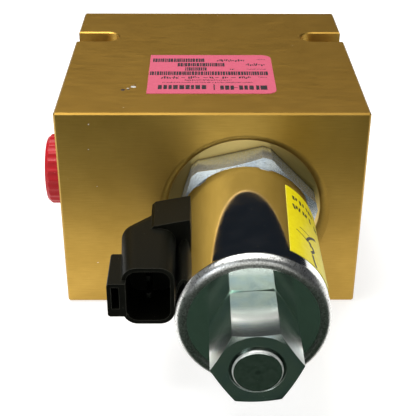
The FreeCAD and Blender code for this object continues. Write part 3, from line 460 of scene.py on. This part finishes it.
def bare_metal():
    """Bright metal where the anodising is chipped away."""
    m = Finish("bare_metal", METAL_BRIGHT, 0.4, metallic=0.6)
    grain = m.noise(0.15 * MM, 3)
    m.set("Base Color", m.mix(m.remap(grain, 0.4, 0.7), METAL_BRIGHT, METAL_DULL))
    m.set("Roughness", m.remap(grain, 0.3, 0.7, 0.3, 0.5))
    m.bump(grain, 0.01 * MM)
    return m.material


FINISHES = {
    "gold_anodised": gold_anodised(),
    "zinc_steel": zinc_plate(),
    "bright_shell": mirror_shell(),
    "plain_steel": ground_steel(),
    "spring_steel": ground_steel("spring_steel", (0.36, 0.36, 0.38)),
    "black_plastic": moulded("black_plastic", (0.0045, 0.0045, 0.0025), (0.14, 0.14, 0.11), 0.42, shine=0.08),
    "natural_nylon": moulded("natural_nylon", (0.72, 0.67, 0.55), (0.85, 0.82, 0.74), 0.45),
    "ptfe": moulded("ptfe", (0.82, 0.80, 0.76), (0.92, 0.92, 0.9), 0.4),
    "red_plastic": moulded("red_plastic", (0.45, 0.007, 0.013), (0.85, 0.16, 0.17), 0.4, shine=0.2),
    "pink_label": printed_film("pink_label", (0.56, 0.10, 0.16), (0.50, 0.08, 0.13), (0.5, 0.05, 0.05), 0.5),
    "yellow_label": printed_film("yellow_label", (0.80, 0.68, 0.004), (0.72, 0.58, 0.003),
                                 (0.85, 0.8, 0.3), 0.4),
    "copper": enamelled_wire(),
    # Painted shade: the pins' colour is far darker than tinned brass, as they sit deep in the dark socket.
    "tinned_brass": ground_steel("tinned_brass", (0.05, 0.048, 0.04)),
    "shim_brass": ground_steel("shim_brass", (0.72, 0.55, 0.25)),
    "rubber_seal": moulded("rubber_seal", (0.014, 0.014, 0.014), (0.06, 0.06, 0.06), 0.55, shine=0.2),
}
OWN_FINISHES = {
    "coil_end_plate": mirror_plate(),
    "coil_nut": zinc_plate("nut_zinc", (0.66, 0.73, 0.66), sparkle=0.05, roughness=0.22),
    "cartridge_body": zinc_plate("hex_zinc", (0.50, 0.53, 0.52), sparkle=1.0, metallic=0.75),
    "pole_piece": stub_steel(),
}
INK_FOR_PRINT_AND_SHADOW = ink_for_print_and_shadow()
BARE_METAL = bare_metal()


def finish_cad_nodes():
    """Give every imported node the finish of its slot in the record."""
    slot_of = {part["node"]: part["material_slot"] for part in frame["record"]["subparts"]}
    for name, node in NODES.items():
        node.data.materials.clear()
        node.data.materials.append(FINISHES[slot_of[name]])
    for name, finish in OWN_FINISHES.items():
        NODES[name].data.materials[0] = finish


# ---------------------------------------------------------------- pieces

def piece(name, mesh_builder, finish, body):
    """A mesh piece in the model's frame that rides on a body."""
    mesh = bpy.data.meshes.new(name)
    bm = bmesh.new()
    mesh_builder(bm)
    bmesh.ops.recalc_face_normals(bm, faces=bm.faces)
    bm.to_mesh(mesh)
    bm.free()
    mesh.materials.append(finish)
    made = bpy.data.objects.new(name, mesh)
    bpy.context.scene.collection.objects.link(made)
    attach(made, body)
    return made


BAR_TOP = 0.02
BAR_FOOT = -0.01


def bar(bm, place, start, end, width):
    """A thin closed bar on a surface, from its two coordinates in mm; place gives the point at a height."""
    start, end = Vector(start), Vector(end)
    along = (end - start).normalized()
    side = Vector((-along.y, along.x)) * width / 2
    ring = (start - side, end - side, end + side, start + side)
    low = [bm.verts.new(place(p.x, p.y, BAR_FOOT)) for p in ring]
    high = [bm.verts.new(place(p.x, p.y, BAR_TOP)) for p in ring]
    bm.faces.new(low[::-1])
    bm.faces.new(high)
    for n in range(4):
        bm.faces.new((low[n], low[n - 3], high[n - 3], high[n]))


def on_block_label(across, down, height):
    """A point of the block's label from its far left corner, in mm."""
    return Vector((LABEL_LEFT + across * MM, LABEL_FAR - down * MM, LABEL_TOP + height * MM))


def on_coil(arc, out, height):
    """A point over the coil's label: mm round from straight up, and mm out from the block's face."""
    angle = arc * MM / FILM_RADIUS
    reach = FILM_RADIUS + height * MM
    return Vector((AXIS_X + reach * math.sin(angle), FACE_Y - out * MM, AXIS_Z + reach * math.cos(angle)))


# runs of marks on the block's label: from and to across, from and to down, the widest mark, in mm
CODE_STRIPS = ((0.9, 17.1, 3.2, 6.2, 0.75), (8.7, 23.4, 7.1, 10.0, 0.75), (11.1, 17.6, 10.8, 13.6, 0.6),
               (0.4, 36.1, 14.3, 17.3, 0.75))
MARK_ROWS = ((20.9, 29.5, 3.9, 5.9, 0.8), (29.9, 36.0, 7.4, 9.6, 0.8), (24.8, 26.1, 11.5, 13.0, 0.6),
             (30.1, 36.0, 12.0, 12.7, 0.35), (3.9, 9.1, 18.3, 20.2, 0.8), (12.0, 15.5, 18.3, 20.2, 0.8),
             (18.5, 19.6, 18.3, 20.2, 0.8), (22.3, 24.3, 18.3, 20.2, 0.8), (27.3, 30.9, 18.3, 20.2, 0.8),
             (33.3, 36.0, 18.6, 19.5, 0.35), (11.0, 25.1, 20.9, 21.8, 0.5), (4.4, 31.5, 22.8, 23.6, 0.4),
             (33.6, 36.2, 3.6, 4.4, 0.3))
BOLD_ROWS = ((3.2, 16.7, 25.3, 28.4, 1.5), (21.6, 25.3, 25.6, 28.8, 1.7), (27.2, 31.1, 25.6, 28.8, 1.3),
             (32.2, 35.3, 25.6, 28.8, 2.2))
CODE_NARROWEST = 0.3
CODE_GAP = (0.12, 0.26)
BOLD_NARROWEST = 0.85
BOLD_GAP = (0.3, 0.5)
# short level lines: from across, down, to across; then one upright line: across, from and to down
DASHES = ((10.0, 19.3, 11.1), (16.6, 19.3, 18.0), (20.2, 19.3, 21.3), (25.0, 19.3, 26.5), (25.6, 27.2, 26.8))
UPRIGHT = (19.8, 24.8, 29.0)
LINE_WIDTH = 0.35


def code_strip(bm, chance, left, right, top, bottom, widest, narrowest=CODE_NARROWEST, gap=CODE_GAP):
    """Upright bars of mixed width, as in a printed code."""
    across = left
    while across < right:
        width = chance.uniform(narrowest, widest)
        bar(bm, on_block_label, (across + width / 2, top), (across + width / 2, bottom), width)
        across += width + chance.uniform(*gap)


def mark_row(bm, chance, left, right, top, bottom, widest):
    """A row of small broken marks in place of print."""
    across = left
    while across < right:
        width = min(chance.uniform(0.55, 1.0) * widest, right - across + 0.1)
        tall = bottom - top
        start = top + chance.choice((0.0, 0.15, 0.4)) * tall
        end = bottom - chance.choice((0.0, 0.15, 0.35)) * tall
        lean = chance.uniform(-0.25, 0.25) * widest
        centre = across + width / 2
        bar(bm, on_block_label, (centre - lean, start), (centre + lean, end), width * 0.72)
        across += width + chance.uniform(0.05, 0.18)


def block_label_print(bm):
    """Generic print: coded strips, bold rows, small rows, dashes and one upright line."""
    chance = random.Random(SEED)
    for strip in CODE_STRIPS:
        code_strip(bm, chance, *strip)
    for strip in BOLD_ROWS:
        code_strip(bm, chance, *strip, narrowest=BOLD_NARROWEST, gap=BOLD_GAP)
    for row in MARK_ROWS:
        mark_row(bm, chance, *row)
    for left, down, right in DASHES:
        bar(bm, on_block_label, (left, down), (right, down), LINE_WIDTH)
    across, top, bottom = UPRIGHT
    bar(bm, on_block_label, (across, top), (across, bottom), LINE_WIDTH)


# the label round the coil: its two ends out from the block's face, and its skin heights, in mm
FILM_REAR = 13.3
FILM_FRONT = 48.6
FILM_INSIDE = -0.09
FILM_OUTSIDE = -0.012
# degrees round from straight up: the upper edge at the rear and at the front, then the lower edge
FILM_EDGE_REAR = 31.9
FILM_EDGE_FRONT = 26.3
FILM_END = 120.6
STEPS_ROUND = 64
STEPS_OUT = 12


def film_row(bm, share, height):
    """One row of points round the coil, at a share of the way from the label's rear to its front."""
    out = FILM_REAR + share * (FILM_FRONT - FILM_REAR)
    begin = FILM_EDGE_REAR + share * (FILM_EDGE_FRONT - FILM_EDGE_REAR)
    angles = [begin + (FILM_END - begin) * n / STEPS_ROUND for n in range(STEPS_ROUND + 1)]
    return [bm.verts.new(on_coil(math.radians(a) * FILM_RADIUS / MM, out, height)) for a in angles]


def coil_film(bm):
    """The label round the coil: a closed sheet whose upper edge runs slightly askew."""
    shares = [step / STEPS_OUT for step in range(STEPS_OUT + 1)]
    inner = [film_row(bm, share, FILM_INSIDE) for share in shares]
    outer = [film_row(bm, share, FILM_OUTSIDE) for share in shares]
    for rows in (inner, outer):
        for near, far in zip(rows, rows[1:]):
            for n in range(STEPS_ROUND):
                bm.faces.new((near[n], near[n + 1], far[n + 1], far[n]))
    for end in (0, -1):
        for n in range(STEPS_ROUND):
            bm.faces.new((inner[end][n], inner[end][n + 1], outer[end][n + 1], outer[end][n]))
    for side in (0, -1):
        for n in range(STEPS_OUT):
            bm.faces.new((inner[n][side], inner[n + 1][side], outer[n + 1][side], outer[n][side]))


# strokes on the coil's label: points as mm round from straight up and mm out, then the width
COIL_STROKES = (
    (((13.5, 33.5), (16.9, 34.3)), 0.24),
    (((12.1, 35.9), (15.6, 37.9)), 0.3),
    (((15.4, 38.2), (16.5, 35.9), (17.5, 34.6), (18.8, 33.3), (20.2, 32.2)), 0.85),
    (((16.4, 37.6), (17.1, 39.6)), 1.0),
    (((17.4, 38.9), (18.0, 40.6), (16.6, 42.6)), 0.85),
    (((16.9, 43.2), (17.2, 46.0), (17.7, 48.0)), 0.75),
)


# rows of small marks on the coil's label: mm out, then from and to round
COIL_MARK_ROWS = ((17.6, 13.0, 21.0), (22.4, 12.5, 20.0), (22.8, 21.8, 23.4), (27.5, 26.0, 36.0),
                  (31.0, 26.0, 33.0))
STROKE_STEP = 0.6
STROKE_OVERLAP = 0.15


def curved_bar(bm, start, end, width):
    """A stroke over the coil in short, slightly overlapping steps, so that it follows the curve."""
    start, end = Vector(start), Vector(end)
    steps = math.ceil((end - start).length / STROKE_STEP)
    for n in range(steps):
        tip = start.lerp(end, (n + 1 + STROKE_OVERLAP) / steps)
        bar(bm, on_coil, start.lerp(end, n / steps), tip, width)


def coil_film_print(bm):
    """Broken rows of small marks and a few loose strokes."""
    chance = random.Random(SEED + 1)
    for out, start, end in COIL_MARK_ROWS:
        arc = start
        while arc < end:
            tall = chance.uniform(1.5, 2.5)
            lean = chance.uniform(-0.5, 0.5)
            bar(bm, on_coil, (arc, out), (arc + lean, out + tall), chance.uniform(0.55, 0.85))
            arc += chance.uniform(1.1, 1.5)
    for points, width in COIL_STROKES:
        for start, end in zip(points, points[1:]):
            curved_bar(bm, start, end, width)


# chips in the block's finish: where on the face, then the size, all in mm
TOP_CHIPS = ((-23.2, -25.1, 1.35), (-24.6, -26.2, 0.6))
FRONT_CHIPS = ((-34.6, 60.2, 0.26), (-35.1, 52.4, 0.3), (-33.3, 40.5, 0.2), (-34.5, 14.3, 0.32),
               (30.4, 9.5, 0.2))
# painted shadows beside the chips on the top: dark flecks where the nick is in shade
TOP_NICK_SHADOWS = ((-26.0, -27.4, 1.2), (-24.5, -26.9, 0.7), (-22.7, -23.5, 0.5))
SPOT_CORNERS = 9
SPOT_FLATNESS = 0.7
# a spot's buried foot and its narrower top: share of its reach, and mm out of the face
SPOT_FOOT = (1.0, -0.03)
SPOT_TOP = (0.7, 0.02)


def on_block_top(x, y, height):
    return Vector((x * MM, y * MM, BLOCK_TOP + height * MM))


def on_block_front(x, z, height):
    return Vector((x * MM, FACE_Y - height * MM, z * MM))


def ragged_spots(bm, chance, place, spots):
    """Small ragged flecks that stand just out of a face of the block."""
    for first, second, size in spots:
        low, high = [], []
        for n in range(SPOT_CORNERS):
            angle = 2 * math.pi * n / SPOT_CORNERS
            reach = size * chance.uniform(0.55, 1.1)
            across = reach * math.cos(angle)
            up = reach * math.sin(angle) * SPOT_FLATNESS
            for ring, (share, out) in ((low, SPOT_FOOT), (high, SPOT_TOP)):
                ring.append(bm.verts.new(place(first + across * share, second + up * share, out)))
        bm.faces.new(low[::-1])
        bm.faces.new(high)
        for n in range(SPOT_CORNERS):
            bm.faces.new((low[n - 1], low[n], high[n], high[n - 1]))


def chipped_spots(bm):
    chance = random.Random(SEED + 2)
    ragged_spots(bm, chance, on_block_top, TOP_CHIPS)
    ragged_spots(bm, chance, on_block_front, FRONT_CHIPS)


# Painted shadows: dark flecks that stand in for the shade in the nick on the top.
def nick_shadows(bm):
    ragged_spots(bm, random.Random(SEED + 3), on_block_top, TOP_NICK_SHADOWS)


def add_pieces():
    piece("block_label_print", block_label_print, INK_FOR_PRINT_AND_SHADOW, "valve_body")
    film = piece("coil_film", coil_film, FINISHES["yellow_label"], "coil")
    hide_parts("coil_label")
    piece("coil_film_print", coil_film_print, INK_FOR_PRINT_AND_SHADOW, "coil")
    piece("chipped_spots", chipped_spots, BARE_METAL, "valve_body")
    piece("nick_shadows", nick_shadows, INK_FOR_PRINT_AND_SHADOW, "valve_body")


# ---------------------------------------------------------------- the stage

def stage_mesh(name, corners, finish, hidden_from=()):
    mesh = bpy.data.meshes.new(name)
    mesh.from_pydata(corners, [], [tuple(range(len(corners)))])
    mesh.materials.append(finish)
    made = bpy.data.objects.new(name, mesh)
    bpy.context.scene.collection.objects.link(made)
    for ray in hidden_from:
        setattr(made, "visible_" + ray, False)


def rectangle(low, high):
    """The corners of a level or upright rectangle between two opposite corners."""
    if low[1] == high[1]:
        return [low, (high[0], low[1], low[2]), high, (low[0], low[1], high[2])]
    return [low, (high[0], low[1], low[2]), high, (low[0], high[1], low[2])]


def glow(name, color, strength):
    material = bpy.data.materials.new(name)
    material.use_nodes = True
    tree = material.node_tree
    tree.nodes.clear()
    light = tree.nodes.new("ShaderNodeEmission")
    light.inputs["Color"].default_value = (*color, 1)
    light.inputs["Strength"].default_value = strength
    out = tree.nodes.new("ShaderNodeOutputMaterial")
    tree.links.new(light.outputs[0], out.inputs["Surface"])
    return material


def area_light(name, place, target, size, power, color=(1, 1, 1)):
    data = bpy.data.lights.new(name, "AREA")
    data.shape = "RECTANGLE"
    data.size, data.size_y = size
    data.energy = power
    data.color = color
    made = bpy.data.objects.new(name, data)
    made.location = place
    made.rotation_euler = (Vector(target) - Vector(place)).to_track_quat("-Z", "Y").to_euler()
    bpy.context.scene.collection.objects.link(made)


# the floor and the cards, in metres; the dark card's rear edge is given at its left, middle and right
FLOOR_REACH = 6.0
FLOOR_HEIGHT = -0.0002
DARK_CARD_HEIGHT = 0.0004
DARK_CARD_SIDES = 1.2
DARK_CARD_FRONT = -1.6
DARK_CARD_REAR = (-0.105, -0.097, -0.09)
OVERHEAD_CARD = ((-0.6, -0.45, 1.0), (0.6, 0.8, 1.0))
FRONT_GLOW_CARD = ((-1.0, -1.3, 0.1), (0.6, -1.3, 0.85))
DOME_RADIUS = 5.5
REFLECTION_ONLY = ("camera", "diffuse", "shadow")


def add_floor():
    """Pale paper that glows a little."""
    paper = Finish("paper", (0.54, 0.54, 0.53), 0.7, Emission_Strength=0.7)
    paper.set("Emission Color", (1.0, 1.0, 1.0))
    paper.set("Base Color", paper.mix(paper.noise(90 * MM), (0.53, 0.53, 0.52), (0.55, 0.55, 0.545)))
    corners = rectangle((-FLOOR_REACH, -FLOOR_REACH, FLOOR_HEIGHT), (FLOOR_REACH, FLOOR_REACH, FLOOR_HEIGHT))
    stage_mesh("floor", corners, paper.material)


def add_cards():
    """Cards seen only as reflections: a dark one before the valve, a bright one above it, one far ahead."""
    dark = Finish("dark_card", (0.020, 0.036, 0.025), 0.9, Specular_IOR_Level=0.0)
    rear_left, rear_middle, rear_right = DARK_CARD_REAR
    outline = ((-DARK_CARD_SIDES, DARK_CARD_FRONT), (DARK_CARD_SIDES, DARK_CARD_FRONT),
               (DARK_CARD_SIDES, rear_right), (0.0, rear_middle), (-DARK_CARD_SIDES, rear_left))
    corners = [(x, y, DARK_CARD_HEIGHT) for x, y in outline]
    stage_mesh("front_card", corners, dark.material, REFLECTION_ONLY)
    above_glow = glow("overhead_glow", (1, 1, 0.98), 1.7)
    stage_mesh("overhead_card", rectangle(*OVERHEAD_CARD), above_glow, REFLECTION_ONLY)
    ahead_glow = glow("front_glow", (0.95, 0.98, 0.97), 1.6)
    stage_mesh("front_glow_card", rectangle(*FRONT_GLOW_CARD), ahead_glow, REFLECTION_ONLY)


def add_dome():
    """An even glow from all round, left out of reflections."""
    bm = bmesh.new()
    bmesh.ops.create_uvsphere(bm, u_segments=48, v_segments=24, radius=DOME_RADIUS)
    mesh = bpy.data.meshes.new("dome")
    bm.to_mesh(mesh)
    bm.free()
    mesh.materials.append(glow("dome_glow", (1.0, 1.0, 1.0), 0.45))
    dome = bpy.data.objects.new("dome", mesh)
    bpy.context.scene.collection.objects.link(dome)
    dome.visible_glossy = False


def add_stage():
    add_floor()
    add_cards()
    add_dome()
    world = bpy.data.worlds.new("studio")
    bpy.context.scene.world = world
    world.use_nodes = True
    world.node_tree.nodes["Background"].inputs["Color"].default_value = (0.010, 0.013, 0.018, 1)
    area_light("top_softbox", (-0.22, 0.06, 0.75), (0.0, -0.02, 0.0), size=(0.55, 0.45), power=6.4)
    area_light("front_window", (-0.75, -1.0, 0.6), (0.0, -0.05, 0.03), size=(0.5, 0.35), power=2.2,
               color=(0.86, 0.92, 1.0))
    bpy.context.scene.view_settings.view_transform = "Standard"


add_camera()
finish_cad_nodes()
add_pieces()
add_stage()
